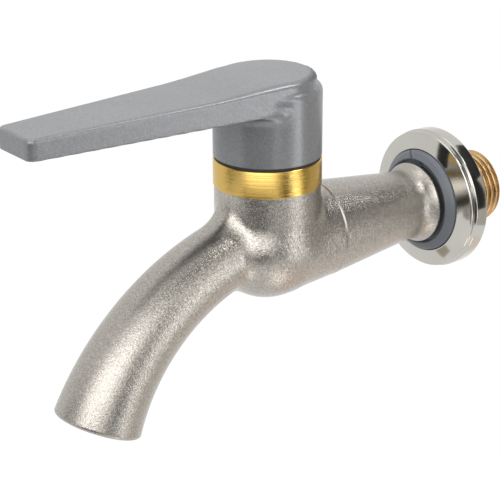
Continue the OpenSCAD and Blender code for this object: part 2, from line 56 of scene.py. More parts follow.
def selectVerts(piece, test):  # goes back to edit mode with the vertices that pass selected
    bpy.ops.object.mode_set(mode="OBJECT")
    mesh = piece.data
    for face in mesh.polygons:
        face.select = False
    for edge in mesh.edges:
        edge.select = False
    for vert in mesh.vertices:
        vert.select = test(vert.co)
    bpy.ops.object.mode_set(mode="EDIT")
    bpy.ops.mesh.select_mode(type="VERT")


def applyModifier(piece, kind, **settings):
    makeActive(piece)
    step = piece.modifiers.new(kind, kind)
    for key, value in settings.items():
        setattr(step, key, value)
    bpy.ops.object.modifier_apply(modifier=step.name)


def cutAway(piece, tool, keepTool=False):
    applyModifier(piece, "BOOLEAN", operation="DIFFERENCE", solver="EXACT", object=tool)
    if not keepTool:
        bpy.data.objects.remove(tool)


def joinOn(piece, tool):
    applyModifier(piece, "BOOLEAN", operation="UNION", solver="EXACT", object=tool)
    bpy.data.objects.remove(tool)


def cleanUp(piece, angle=32):
    makeActive(piece)
    bpy.ops.object.transform_apply(location=True, rotation=True, scale=True)
    bpy.ops.object.mode_set(mode="EDIT")
    bpy.ops.mesh.select_all(action="SELECT")
    bpy.ops.mesh.remove_doubles(threshold=1e-6)
    bpy.ops.mesh.normals_make_consistent(inside=False)
    bpy.ops.object.mode_set(mode="OBJECT")
    bpy.ops.object.shade_smooth_by_angle(angle=math.radians(angle))


def softened(profile, segments=5):  # corners are (radius, along, rounding); a rounded one becomes an arc
    points = []
    count = len(profile)
    for i, (r, a, ease) in enumerate(profile):
        here = Vector((r, a))
        if not ease:
            points.append(here)
            continue
        before = Vector(profile[i - 1][:2]) - here
        after = Vector(profile[(i + 1) % count][:2]) - here
        half = before.angle(after) / 2
        run = min(ease / math.tan(half), before.length * 0.49, after.length * 0.49)
        ease = run * math.tan(half)
        middle = here + (before.normalized() + after.normalized()).normalized() * ease / math.sin(half)
        start = here + before.normalized() * run - middle
        end = here + after.normalized() * run - middle
        turn = start.angle_signed(end)
        for k in range(segments + 1):
            points.append(middle + Matrix.Rotation(-turn * k / segments, 2) @ start)
    return points


# a profile drawn by extruding a vertex and spun round its axis; sizes in millimetres
def turned(name, profile, axis="Y", centre=(0, 0, 0), steps=160, sweep=360, start=0, segments=5):
    deselectAll()
    centre = Vector(centre)
    along = Vector((0, 1, 0)) if axis == "Y" else Vector((0, 0, 1))
    out = Matrix.Rotation(math.radians(start), 3, along) @ Vector((1, 0, 0))
    points = [centre + (out * p.x + along * p.y) * mm for p in softened(profile, segments)]
    bpy.ops.mesh.primitive_plane_add(size=mm, location=points[0])
    piece = bpy.context.object
    piece.name = piece.data.name = name
    bpy.ops.object.transform_apply(location=True)
    bpy.ops.object.mode_set(mode="EDIT")
    bpy.ops.mesh.select_mode(type="VERT")
    bpy.ops.mesh.merge(type="CENTER")
    for here, there in zip(points, points[1:]):
        bpy.ops.mesh.extrude_vertices_move(TRANSFORM_OT_translate={"value": there - here})
    bpy.ops.mesh.select_all(action="SELECT")
    bpy.ops.mesh.edge_face_add()  # closes the profile
    bpy.ops.mesh.delete(type="ONLY_FACE")
    bpy.ops.mesh.select_all(action="SELECT")
    bpy.ops.mesh.spin(steps=steps, angle=math.radians(sweep), center=centre, axis=along)
    bpy.ops.mesh.select_all(action="SELECT")
    bpy.ops.mesh.remove_doubles(threshold=1e-6)
    if sweep < 360:
        bpy.ops.mesh.select_all(action="DESELECT")
        bpy.ops.mesh.select_non_manifold()
        bpy.ops.mesh.fill()
    bpy.ops.mesh.select_all(action="SELECT")
    bpy.ops.mesh.normals_make_consistent(inside=False)
    bpy.ops.object.mode_set(mode="OBJECT")
    return piece


def finishPiece(piece, body, material, slot, *nodes):
    piece.data.materials.clear()
    piece.data.materials.append(material)
    for face in piece.data.polygons:
        face.material_index = 0
    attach(piece, body)
    if nodes:
        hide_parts(*nodes)
    return piece


def copyOfNode(node, name):
    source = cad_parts[node]
    piece = source.copy()
    piece.data = source.data.copy()
    piece.name = piece.data.name = name
    for key in [k for k in piece.keys() if k.startswith("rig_")]:
        del piece[key]
    piece.parent = None
    bpy.context.scene.collection.objects.link(piece)
    cleanUp(piece)
    return piece


# shader groups and materials

def newGroup(name, takes, gives):
    group = bpy.data.node_groups.new(name, "ShaderNodeTree")
    for label, kind, value in takes:
        socket = group.interface.new_socket(label, in_out="INPUT", socket_type=kind)
        if value is not None:
            socket.default_value = value
    for label, kind in gives:
        group.interface.new_socket(label, in_out="OUTPUT", socket_type=kind)
    start = group.nodes.new("NodeGroupInput")
    end = group.nodes.new("NodeGroupOutput")
    start.location, end.location = (-900, 0), (700, 0)
    return group, start, end


def addNode(tree, kind, at=(0, 0), settings=None, **inputs):
    node = tree.nodes.new(kind)
    node.location = at
    for key, value in (settings or {}).items():
        setattr(node, key, value)
    for key, value in inputs.items():
        socket = node.inputs[int(key[1:])] if key[0] == "i" and key[1:].isdigit() else node.inputs[key.replace("_", " ")]
        if hasattr(value, "is_linked"):
            tree.links.new(value, socket)
        else:
            socket.default_value = value
    return node


def mathNode(tree, what, a, b=0.0, at=(0, 0), clamp=False):
    return addNode(tree, "ShaderNodeMath", at, {"operation": what, "use_clamp": clamp}, i0=a, i1=b).outputs[0]


def spread(tree, value, low, high, toLow=0.0, toHigh=1.0, at=(0, 0)):
    node = addNode(tree, "ShaderNodeMapRange", at, {"clamp": True}, i0=value, i1=low, i2=high, i3=toLow, i4=toHigh)
    return node.outputs[0]


def mixColour(tree, how, share, a, b, at=(0, 0)):
    node = addNode(tree, "ShaderNodeMix", at, {"data_type": "RGBA", "blend_type": how, "clamp_factor": True})
    for socket, value in zip((node.inputs[0], node.inputs[6], node.inputs[7]), (share, a, b)):
        if hasattr(value, "is_linked"):
            tree.links.new(value, socket)
        else:
            socket.default_value = value
    return node.outputs[2]


def buildBlastGrain():  # shot-blasted skin: fine pits over soft larger ones
    group, start, end = newGroup("blastGrain", [
        ("Vector", "NodeSocketVector", None), ("Grain", "NodeSocketFloat", 2600.0), ("Cloud", "NodeSocketFloat", 90.0)],
        [("Height", "NodeSocketFloat"), ("Fleck", "NodeSocketFloat"), ("Cloud", "NodeSocketFloat")])
    fine = addNode(group, "ShaderNodeTexNoise", (-600, 200), None, Vector=start.outputs["Vector"], Scale=start.outputs["Grain"], Detail=2.0, Roughness=0.6)
    half = mathNode(group, "MULTIPLY", start.outputs["Grain"], 0.42, (-760, -60))
    wide = addNode(group, "ShaderNodeTexNoise", (-600, -60), None, Vector=start.outputs["Vector"], Scale=half, Detail=1.0, Roughness=0.5)
    cloud = addNode(group, "ShaderNodeTexNoise", (-600, -320), None, Vector=start.outputs["Vector"], Scale=start.outputs["Cloud"], Detail=3.0, Roughness=0.55)
    both = mathNode(group, "MULTIPLY", wide.outputs[0], 0.35, (-400, -60))
    height = mathNode(group, "MULTIPLY_ADD", fine.outputs[0], 0.65, (-200, 100))
    group.links.new(both, height.node.inputs[2])
    fleck = spread(group, fine.outputs[0], 0.5, 0.68, at=(-200, 300))
    group.links.new(height, end.inputs["Height"])
    group.links.new(fleck, end.inputs["Fleck"])
    group.links.new(spread(group, cloud.outputs[0], 0.3, 0.7, at=(-200, -300)), end.inputs["Cloud"])
    return group


def buildTurnedLines():  # fine lines left by a turning tool, all round one axis
    group, start, end = newGroup("turnedLines", [
        ("Along", "NodeSocketFloat", 0.0), ("Fineness", "NodeSocketFloat", 9000.0)],
        [("Height", "NodeSocketFloat"), ("Line", "NodeSocketFloat")])
    place = mathNode(group, "MULTIPLY", start.outputs["Along"], start.outputs["Fineness"], (-700, 0))
    lines = addNode(group, "ShaderNodeTexNoise", (-500, 100), {"noise_dimensions": "1D"}, W=place, Scale=1.0, Detail=3.0, Roughness=0.7)
    slow = mathNode(group, "MULTIPLY", place, 0.13, (-700, -200))
    bands = addNode(group, "ShaderNodeTexNoise", (-500, -200), {"noise_dimensions": "1D"}, W=slow, Scale=1.0, Detail=1.0)
    height = mathNode(group, "MULTIPLY_ADD", lines.outputs[0], 0.7, (-200, 0))
    group.links.new(mathNode(group, "MULTIPLY", bands.outputs[0], 0.3, (-300, -200)), height.node.inputs[2])
    group.links.new(height, end.inputs["Height"])
    group.links.new(spread(group, lines.outputs[0], 0.35, 0.7, at=(-200, 250)), end.inputs["Line"])
    return group


blastGrain = buildBlastGrain()
turnedLines = buildTurnedLines()
print("shader groups built")


def startMaterial(name, metallic=0.0, **shine):
    material = bpy.data.materials.new(name)
    material.use_nodes = True
    tree = material.node_tree
    shader = tree.nodes["Principled BSDF"]
    shader.location = (400, 0)
    tree.nodes["Material Output"].location = (700, 0)
    shader.inputs["Metallic"].default_value = metallic
    for key, value in shine.items():
        shader.inputs[key.replace("_", " ")].default_value = value
    place = addNode(tree, "ShaderNodeTexCoord", (-1100, 0)).outputs["Object"]
    return material, tree, shader, place


def useGroup(tree, group, at, **inputs):
    return addNode(tree, "ShaderNodeGroup", at, {"node_tree": group}, **inputs)


def bumpFrom(tree, shader, height, strength, distance, at=(150, -350)):
    bump = addNode(tree, "ShaderNodeBump", at, None, Strength=strength, Distance=distance, Height=height)
    tree.links.new(bump.outputs[0], shader.inputs["Normal"])


def colour(rgb):
    return (*rgb, 1.0)


nickelLook = {
    "dark": (0.298, 0.278, 0.25), "light": (0.462, 0.435, 0.393), "fleck": (0.64, 0.61, 0.56),
    "shine": (0.17, 0.23), "grain": 3800.0, "depth": 0.115 * mm, "bump": 1.0,
}


def blastedNickel(name, grainScale=1.0):
    material, tree, shader, place = startMaterial(name, metallic=1.0)
    skin = useGroup(tree, blastGrain, (-800, 0), Vector=place, Grain=nickelLook["grain"] * grainScale, Cloud=85.0)
    pits = spread(tree, skin.outputs["Height"], 0.36, 0.62, at=(-600, 200))
    base = mixColour(tree, "MIX", pits, colour(nickelLook["dark"]), colour(nickelLook["light"]), (-400, 200))
    base = mixColour(tree, "MIX", mathNode(tree, "MULTIPLY", skin.outputs["Fleck"], 0.35, (-400, 400)), base, colour(nickelLook["fleck"]), (-200, 200))
    tree.links.new(base, shader.inputs["Base Color"])
    low, high = nickelLook["shine"]
    tree.links.new(spread(tree, skin.outputs["Cloud"], 0.0, 1.0, low, high, (-200, -100)), shader.inputs["Roughness"])
    bumpFrom(tree, shader, skin.outputs["Height"], nickelLook["bump"], nickelLook["depth"])
    return material


def leverPaint():
    material, tree, shader, place = startMaterial("leverPaint", metallic=0.45)
    skin = useGroup(tree, blastGrain, (-800, 0), Vector=place, Grain=3300.0, Cloud=60.0)
    pits = spread(tree, skin.outputs["Height"], 0.36, 0.62, at=(-600, 200))
    base = mixColour(tree, "MIX", pits, colour((0.195, 0.199, 0.208)), colour((0.265, 0.27, 0.28)), (-400, 200))
    tree.links.new(base, shader.inputs["Base Color"])
    tree.links.new(spread(tree, skin.outputs["Cloud"], 0.0, 1.0, 0.30, 0.36, (-200, -100)), shader.inputs["Roughness"])
    bumpFrom(tree, shader, skin.outputs["Height"], 0.5, 0.04 * mm)
    return material


def turnedBrass(name, axis, base=(0.62, 0.39, 0.075), pale=(0.80, 0.62, 0.27), shine=(0.24, 0.34), relief=0.03 * mm, lean=0):
    material, tree, shader, place = startMaterial(name, metallic=1.0, Anisotropic=0.5)
    parts = addNode(tree, "ShaderNodeSeparateXYZ", (-950, 0), None, Vector=place)
    lines = useGroup(tree, turnedLines, (-750, 0), Along=parts.outputs[axis], Fineness=9000.0)
    tint = mixColour(tree, "MIX", lines.outputs["Line"], colour(base), colour(pale), (-400, 200))
    cloud = useGroup(tree, blastGrain, (-750, -300), Vector=place, Grain=900.0, Cloud=70.0)
    tint = mixColour(tree, "MULTIPLY", mathNode(tree, "MULTIPLY", cloud.outputs["Cloud"], 0.15, (-400, -50)), tint, colour((0.8, 0.72, 0.6)), (-200, 200))
    tree.links.new(tint, shader.inputs["Base Color"])
    tree.links.new(spread(tree, lines.outputs["Height"], 0.3, 0.7, shine[0], shine[1], (-200, -100)), shader.inputs["Roughness"])
    height = lines.outputs["Height"]
    if lean:  # the lines are saw-toothed and look a little upwards
        slant = mathNode(tree, "MULTIPLY", parts.outputs[axis], -math.tan(math.radians(lean)) / relief, (-600, -450))
        height = mathNode(tree, "ADD", height, slant, (-400, -350))
    bumpFrom(tree, shader, height, 1.0, relief)
    return material


def polishedNickel():
    material, tree, shader, place = startMaterial("polishedNickel", metallic=1.0)
    skin = useGroup(tree, blastGrain, (-800, 0), Vector=place, Grain=700.0, Cloud=60.0)
    base = mixColour(tree, "MIX", skin.outputs["Cloud"], colour((0.49, 0.475, 0.44)), colour((0.56, 0.545, 0.505)), (-400, 200))
    tree.links.new(base, shader.inputs["Base Color"])
    tree.links.new(spread(tree, skin.outputs["Cloud"], 0.0, 1.0, 0.06, 0.13, (-200, -100)), shader.inputs["Roughness"])
    bumpFrom(tree, shader, skin.outputs["Height"], 0.04, 0.02 * mm)
    return material


def plainMaterial(name, base, rough, metallic=0.0, grain=2500.0, depth=0.01 * mm, vary=0.12):
    material, tree, shader, place = startMaterial(name, metallic=metallic)
    skin = useGroup(tree, blastGrain, (-800, 0), Vector=place, Grain=grain, Cloud=120.0)
    darker = tuple(c * (1 - vary) for c in base)
    lighter = tuple(min(1, c * (1 + vary)) for c in base)
    tint = mixColour(tree, "MIX", skin.outputs["Height"], colour(darker), colour(lighter), (-400, 200))
    tree.links.new(tint, shader.inputs["Base Color"])
    tree.links.new(spread(tree, skin.outputs["Cloud"], 0.0, 1.0, rough * 0.85, min(1, rough * 1.15), (-200, -100)), shader.inputs["Roughness"])
    bumpFrom(tree, shader, skin.outputs["Height"], 0.2, depth)
    return material


castNickel = blastedNickel("castNickel")
tubeNickel = blastedNickel("tubeNickel", 1.1)
leverGrey = leverPaint()
ringBrass = turnedBrass("ringBrass", 2, (0.53, 0.325, 0.05), (0.70, 0.52, 0.205), (0.15, 0.22), lean=11)
threadBrass = turnedBrass("threadBrass", 1, (0.46, 0.285, 0.12), (0.66, 0.47, 0.25), (0.2, 0.34), 0.01 * mm)
spindleBrass = turnedBrass("spindleBrass", 2, (0.62, 0.46, 0.2), (0.75, 0.6, 0.32))
rosetteNickel = polishedNickel()
ringGrey = plainMaterial("ringGrey", (0.135, 0.15, 0.17), 0.42, depth=0.008 * mm)
sealBlack = plainMaterial("sealBlack", (0.018, 0.018, 0.02), 0.55)
seatWhite = plainMaterial("seatWhite", (0.8, 0.8, 0.78), 0.45)
ballChrome = plainMaterial("ballChrome", (0.7, 0.7, 0.71), 0.1, metallic=1.0, vary=0.03, depth=0.002 * mm)
stampedSteel = plainMaterial("stampedSteel", (0.5, 0.5, 0.51), 0.35, metallic=1.0)
print("materials built")


# the casting: neck, ball chamber and spout

castingSizes = {
    "chamberR": 14.4, "chamberLead": 1.2, "taperFrom": 3.0, "jointR": 13.25, "jointY": 17.0, "jointBevel": 0.35,
    "neckR": 14.2, "neckTop": 16.9, "neckBore": 11.05, "floorZ": 12.0, "sealR": 12.8, "sealDeep": 1.0, "guideR": 6.0,
    "boreR": 10.3, "seatBack": 8.4, "portR": 6.0, "threadBore": 11.3, "threadFrom": 9.2, "grooveIn": 7.9, "grooveOut": 9.4, "grooveDeep": 1.3,
    "bendR": 64.0, "bendBack": 3.7, "bendRise": 2.1, "sweep": 66.8, "flareFrom": 10.0, "rootR": 9.35, "mouthR": 11.7,
    "wall": 2.2, "lip": 1.0, "rootBlend": 7.0, "throatBlend": 4.0, "sideBlend": 2.3, "crotchBlend": 1.9, "bulge": 0.5, "voxel": 0.42,
}


def bendPoint(angle):  # on the spout's centre line, in millimetres from the spindle
    c = castingSizes
    return np.array([0.0, c["bendBack"] - c["bendR"] * math.sin(angle), c["bendRise"] - c["bendR"] + c["bendR"] * math.cos(angle)])


def bendWay(angle):
    return np.array([0.0, -math.cos(angle), -math.sin(angle)])


def spoutRadius(degrees):
    c = castingSizes
    share = np.maximum(degrees - c["flareFrom"], 0) / (c["sweep"] - c["flareFrom"])
    return c["rootR"] + (c["mouthR"] - c["rootR"]) * share ** 2


def softMin(a, b, k):
    h = np.maximum(k - np.abs(a - b), 0) / k
    return np.minimum(a, b) - h * h * k / 4


def smoothStep(value, low, high):
    share = np.clip((value - low) / (high - low), 0, 1)
    return share * share * (3 - 2 * share)


def castingGap(p):  # distance of each point from the casting's outer skin
    c = castingSizes
    x, y, z = p[:, 0], p[:, 1], p[:, 2]
    taper = (c["chamberR"] - c["jointR"]) / (c["jointY"] - c["taperFrom"])
    chamber = np.sqrt(x ** 2 + np.minimum(y + c["chamberLead"], 0) ** 2 + z ** 2) - (c["chamberR"] - np.maximum(y - c["taperFrom"], 0) * taper)
    chamber -= c["bulge"] * smoothStep(8 - np.abs(z - 2), 0, 8) * smoothStep(10 - y, 0, 10)
    neck = np.sqrt(x ** 2 + y ** 2 + np.minimum(z, 0) ** 2) - c["neckR"]
    low = c["bendRise"] - c["bendR"]
    angle = np.clip(np.arctan2(c["bendBack"] - y, z - low), 0, math.radians(c["sweep"]))
    centre = np.stack([0 * x, c["bendBack"] - c["bendR"] * np.sin(angle), low + c["bendR"] * np.cos(angle)], 1)
    endAngle = math.radians(c["sweep"])
    beyond = (p - bendPoint(endAngle)) @ bendWay(endAngle)
    centre += np.maximum(beyond, 0)[:, None] * bendWay(endAngle)
    tube = np.linalg.norm(p - centre, axis=1) - spoutRadius(np.degrees(angle))
    face = beyond - c["lip"]
    r = c["lip"]
    spout = np.minimum(np.maximum(tube, face) + r, 0) + np.hypot(np.maximum(tube + r, 0), np.maximum(face + r, 0)) - r
    blend = c["throatBlend"] + (c["rootBlend"] - c["throatBlend"]) * np.clip(z / 10 + 1, 0, 1)
    blend = blend + (c["sideBlend"] - blend) * smoothStep(np.abs(x), 2, 8)  # full on top, tight at the sides
    return softMin(softMin(chamber, neck, c["crotchBlend"]), spout, blend)


def readVerts(piece):
    flat = np.zeros(len(piece.data.vertices) * 3)
    piece.data.vertices.foreach_get("co", flat)
    return flat.reshape(-1, 3)


def writeVerts(piece, points):
    piece.data.vertices.foreach_set("co", points.ravel())
    piece.data.update()


def pullToSkin(piece, gapOf, rounds=3, reach=None):
    points = readVerts(piece) / mm - np.array([0, spindleY / mm, 0])
    inside = np.ones(len(points), bool) if reach is None else reach(points)
    for _ in range(rounds):
        gap = gapOf(points)
        slope = np.stack([(gapOf(points + d) - gapOf(points - d)) / 0.04 for d in np.eye(3) * 0.02], 1)
        slope /= np.maximum(np.linalg.norm(slope, axis=1), 0.3)[:, None]
        points = np.where(inside[:, None], points - slope * gap[:, None], points)
    writeVerts(piece, (points + np.array([0, spindleY / mm, 0])) * mm)


def sweptTube(name, stations, sides):  # a station is (centre, heading angle, radius)
    deselectAll()
    origin = np.array([0, spindleY / mm, 0])
    (centre, angle, radius) = stations[0]
    bpy.ops.mesh.primitive_circle_add(vertices=sides, radius=radius * mm, fill_type="NGON", location=tuple((centre + origin) * mm), rotation=(math.pi / 2 + angle, 0, 0))
    piece = bpy.context.object
    piece.name = piece.data.name = name
    bpy.ops.object.transform_apply(location=True, rotation=True)
    bpy.ops.object.mode_set(mode="EDIT")
    bpy.ops.mesh.select_all(action="SELECT")
    for (centreA, angleA, radiusA), (centreB, angleB, radiusB) in zip(stations, stations[1:]):
        bpy.ops.mesh.extrude_region_move(TRANSFORM_OT_translate={"value": tuple((centreB - centreA) * mm)})
        bpy.ops.object.mode_set(mode="OBJECT")
        picked = [v for v in piece.data.vertices if v.select]
        middle = Vector(tuple((centreB + origin) * mm))
        turn = Matrix.Rotation(angleB - angleA, 3, "X") * (radiusB / radiusA)
        for v in picked:
            v.co = middle + turn @ (v.co - middle)
        bpy.ops.object.mode_set(mode="EDIT")
    bpy.ops.mesh.select_all(action="SELECT")
    bpy.ops.mesh.normals_make_consistent(inside=False)
    bpy.ops.object.mode_set(mode="OBJECT")
    return piece


def bendStations(first, extra, shrink, count):
    c = castingSizes
    stations = []
    for i in range(count + 1):
        degrees = first + (c["sweep"] - first) * i / count
        angle = math.radians(degrees)
        stations.append((bendPoint(angle), angle, float(spoutRadius(degrees)) - shrink))
    last, angle, radius = stations[-1]
    for further, wider in extra:
        stations.append((last + bendWay(angle) * further, angle, radius + wider))
    return stations


def buildCasting():
    c = castingSizes
    at = (0, spindleY, 0)
    low = [(0, -c["chamberR"] - c["chamberLead"], 0)]
    low += [(c["chamberR"] * math.cos(a), c["chamberR"] * math.sin(a) - c["chamberLead"], 0) for a in np.radians(range(-80, 1, 10))]
    piece = turned("castBody", low + [(c["chamberR"], c["taperFrom"], 0), (c["jointR"] - 0.2, c["jointY"] + 2.4, 0), (0, c["jointY"] + 2.4, 0)], "Y", at, 96)
    neck = turned("neckRough", [(0, 0, 0), (c["neckR"], 0, 0), (c["neckR"], c["neckTop"] + 2.6, 0), (0, c["neckTop"] + 2.6, 0)], "Z", at, 96)
    spout = sweptTube("spoutRough", bendStations(0, [(0.9, -0.1)], 0, 40), 72)
    makeActive(piece)
    neck.select_set(True)
    spout.select_set(True)
    bpy.ops.object.join()
    applyModifier(piece, "REMESH", mode="VOXEL", voxel_size=c["voxel"] * mm, adaptivity=0.0)
    ends = lambda p: (p[:, 1] < c["jointY"] + 1.5) & (p[:, 2] < c["neckTop"] + 1.5)
    for _ in range(3):
        pullToSkin(piece, castingGap, reach=ends)
        applyModifier(piece, "SMOOTH", factor=0.5, iterations=3)
    pullToSkin(piece, castingGap, 4, ends)
    print("casting skin drawn out,", len(piece.data.vertices), "points")

    big = 30
    capTool = turned("neckCut", [(0, c["neckTop"], 0), (big, c["neckTop"], 0), (big, big, 0), (0, big, 0)], "Z", at, 64)
    cutAway(piece, capTool)
    jointTool = turned("jointCut", [
        (0, c["jointY"], 0), (c["jointR"] - c["jointBevel"], c["jointY"], 0), (c["jointR"] + 1.5, c["jointY"] - c["jointBevel"] - 1.5, 0),
        (big, c["jointY"], 0), (big, big, 0), (0, big, 0)], "Y", at, 160)
    cutAway(piece, jointTool)
    boreTool = turned("boreCut", [
        (0, -c["chamberR"] + 1, 0), (c["portR"], -c["chamberR"] + 1, 0), (c["portR"], -c["seatBack"], 0),
        (c["grooveIn"], -c["seatBack"], 0), (c["grooveIn"], -c["seatBack"] - c["grooveDeep"], 0), (c["grooveOut"], -c["seatBack"] - c["grooveDeep"], 0),
        (c["grooveOut"], -c["seatBack"], 0), (c["boreR"], -c["seatBack"], 0), (c["boreR"], c["threadFrom"], 0),
        (c["threadBore"], c["threadFrom"], 0), (c["threadBore"], big, 0), (0, big, 0)], "Y", at, 96)
    cutAway(piece, boreTool)
    neckTool = turned("neckBoreCut", [
        (0, 0, 0), (c["guideR"], 0, 0), (c["guideR"], c["floorZ"], 0), (c["neckBore"], c["floorZ"], 0),
        (c["neckBore"], c["neckTop"] - c["sealDeep"], 0), (c["sealR"], c["neckTop"] - c["sealDeep"], 0), (c["sealR"], big, 0), (0, big, 0)], "Z", at, 96)
    cutAway(piece, neckTool)
    waterway = sweptTube("waterwayCut", bendStations(12, [(0.35, 0.12), (0.7, 0.45), (1.25, 1.4), (3.0, 3.2)], c["wall"], 36), 72)
    cutAway(piece, waterway)
    cleanUp(piece, 34)
    return finishPiece(piece, "tap_body", castNickel, "cast_nickel", "cast_body")


casting = buildCasting()
print("casting done,", len(casting.data.polygons), "faces")


# the inlet tube with its flared foot, and the thread

tubeSizes = {
    "bore": 6.2, "seatR": 10.2, "seatFrom": 8.4, "spigotFrom": 10.0, "spigotR": 11.25, "grooveY": 14.14, "grooveW": 1.92, "grooveR": 9.69,
    "jointY": 17.0, "jointR": 13.25, "bevel": 0.35, "waistR": 9.8, "waistY": 47.3, "flare": 6.0, "footR": 11.4, "land": 0.7,
    "shankR": 10.1775, "threadR": 10.4775, "threadLen": 14.5, "pitch": 1.814, "threadDeep": 1.05, "lead": 1.0,
}


def buildTube():
    t = tubeSizes
    slope = math.atan((t["jointR"] - t["waistR"]) / (t["waistY"] - t["jointY"]))
    out = math.acos(math.cos(slope) - (t["footR"] - t["waistR"]) / t["flare"])
    flare = []
    for i in range(17):
        a = -slope + (out + slope) * i / 16
        flare.append((t["waistR"] + t["flare"] * (math.cos(slope) - math.cos(a)), t["waistY"] + t["flare"] * (math.sin(slope) + math.sin(a)), 0))
    footEnd = flare[-1][1] + t["land"]
    wallY = -spindleY / mm
    profile = [
        (t["bore"], t["seatFrom"], 0), (t["seatR"], t["seatFrom"], 0), (t["seatR"], t["spigotFrom"], 0), (t["spigotR"], t["spigotFrom"], 0),
        (t["spigotR"], t["grooveY"], 0), (t["grooveR"], t["grooveY"], 0), (t["grooveR"], t["grooveY"] + t["grooveW"], 0), (t["spigotR"], t["grooveY"] + t["grooveW"], 0),
        (t["spigotR"], t["jointY"], 0), (t["jointR"] - t["bevel"], t["jointY"], 0), (t["jointR"], t["jointY"] + t["bevel"], 0.15)]
    profile += flare + [(t["footR"], footEnd, 0.25), (t["shankR"], footEnd, 0), (t["shankR"], wallY, 0), (t["bore"], wallY, 0)]
    piece = turned("inletTube", profile, "Y", (0, spindleY, 0), 180)
    cleanUp(piece, 28)
    return finishPiece(piece, "tap_body", tubeNickel, "tube_nickel", "inlet_tube")


def buildThread():
    t = tubeSizes
    deselectAll()
    bpy.ops.mesh.primitive_plane_add(size=mm, location=(t["threadR"] * mm, -t["pitch"] * mm, 0))
    piece = bpy.context.object
    piece.name = piece.data.name = "inletThread"
    bpy.ops.object.transform_apply(location=True)
    bpy.ops.object.mode_set(mode="EDIT")
    bpy.ops.mesh.select_mode(type="VERT")
    bpy.ops.mesh.merge(type="CENTER")
    ridge = [(0.10, 0), (0.13, -0.06), (0.17, -0.35), (0.24, -1), (0.05, -0.12), (0.09, 0), (0.05, 0.12), (0.24, 1), (0.17, 0.35), (0.13, 0.06)]
    scale = t["threadDeep"] / sum(abs(r) for _, r in ridge) * 2
    wide = sum(w for w, _ in ridge)
    for step, rise in ridge:  # one tooth, crest to crest
        bpy.ops.mesh.extrude_vertices_move(TRANSFORM_OT_translate={"value": (rise * scale * mm, step / wide * t["pitch"] * mm, 0)})
    bpy.ops.object.mode_set(mode="OBJECT")
    turns = int(t["threadLen"] / t["pitch"]) + 3
    applyModifier(piece, "SCREW", axis="Y", angle=2 * math.pi, screw_offset=t["pitch"] * mm, iterations=turns, steps=96, render_steps=96, use_merge_vertices=True, merge_threshold=1e-6)
    bpy.ops.object.mode_set(mode="EDIT")
    bpy.ops.mesh.select_all(action="SELECT")
    bpy.ops.mesh.remove_doubles(threshold=2e-6)
    bpy.ops.mesh.bisect(plane_co=(0, 0, 0), plane_no=(0, 1, 0), clear_inner=True, use_fill=True)
    bpy.ops.mesh.select_all(action="SELECT")
    bpy.ops.mesh.bisect(plane_co=(0, t["threadLen"] * mm, 0), plane_no=(0, 1, 0), clear_outer=True, use_fill=True)
    bpy.ops.mesh.select_all(action="SELECT")
    bpy.ops.mesh.normals_make_consistent(inside=False)
    bpy.ops.object.mode_set(mode="OBJECT")
    end = t["threadLen"]
    cutAway(piece, turned("leadCut", [(t["threadR"] - t["lead"] * 1.25, end + 0.5, 0), (t["threadR"] + 0.6, end - t["lead"] * 1.2, 0), (t["threadR"] + 3, end + 0.5, 0)], "Y", steps=96))
    cutAway(piece, turned("threadBore", [(0, -2, 0), (t["bore"], -2, 0), (t["bore"], end - 0.5, 0), (t["bore"] + 1, end + 0.5, 0), (0, end + 0.5, 0)], "Y", steps=96))
    cleanUp(piece, 40)
    return finishPiece(piece, "tap_body", threadBrass, "tube_nickel", "inlet_tube")


buildTube()
thread = buildThread()
print("inlet tube and thread done,", len(thread.data.polygons), "faces on the thread")


# rosette, split ring and the bonnet's ring

rosetteSizes = {
    "rimY": -0.4, "rearR": 20.0, "frontR": 19.65, "rearW": 4.2, "groove": 1.0, "grooveDeep": 0.8,
    "frontW": 0.3, "frontEdge": 0.55, "height": 7.75, "mouthR": 14.68, "mouthEdge": 0.4, "lipY": -3.6,
    "lipR": 12.38, "gasketR": 18.1, "gasketY": -2.4, "rearEdge": 0.45,
}


def buildRosette():
    s = rosetteSizes
    grooveY = s["rimY"] - s["rearW"]
    frontY = grooveY - s["groove"]
    crownY = frontY - s["frontW"] - 0.4
    piece = turned("wallRosette", [
        (s["gasketR"], s["rimY"], 0),
        (s["rearR"], s["rimY"], s["rearEdge"]),
        (s["rearR"], grooveY + 0.1, s["rearEdge"] * 0.7),
        (s["frontR"] - s["grooveDeep"], grooveY - s["groove"] / 2, 0.14),
        (s["frontR"], frontY, 0.16),
        (s["frontR"], crownY, s["frontEdge"]),
        (s["mouthR"], -s["height"], s["mouthEdge"]),
        (s["mouthR"], s["lipY"], 0),
        (s["lipR"], s["lipY"], 0),
        (s["lipR"], s["gasketY"], 0),
        (s["gasketR"], s["gasketY"], 0)], "Y", steps=240, segments=8)
    cleanUp(piece, 40)
    return finishPiece(piece, "tap_body", rosetteNickel, "rosette_chrome", "rosette")


splitSizes = {
    "faceY": -9.4, "stepY": -7.9, "backY": -3.6, "innerR": 12.0, "outerR": 14.62, "gripR": 10.23,
    "slit": 0.5, "slitAngle": 103.0, "slitSlant": 44.0,
}


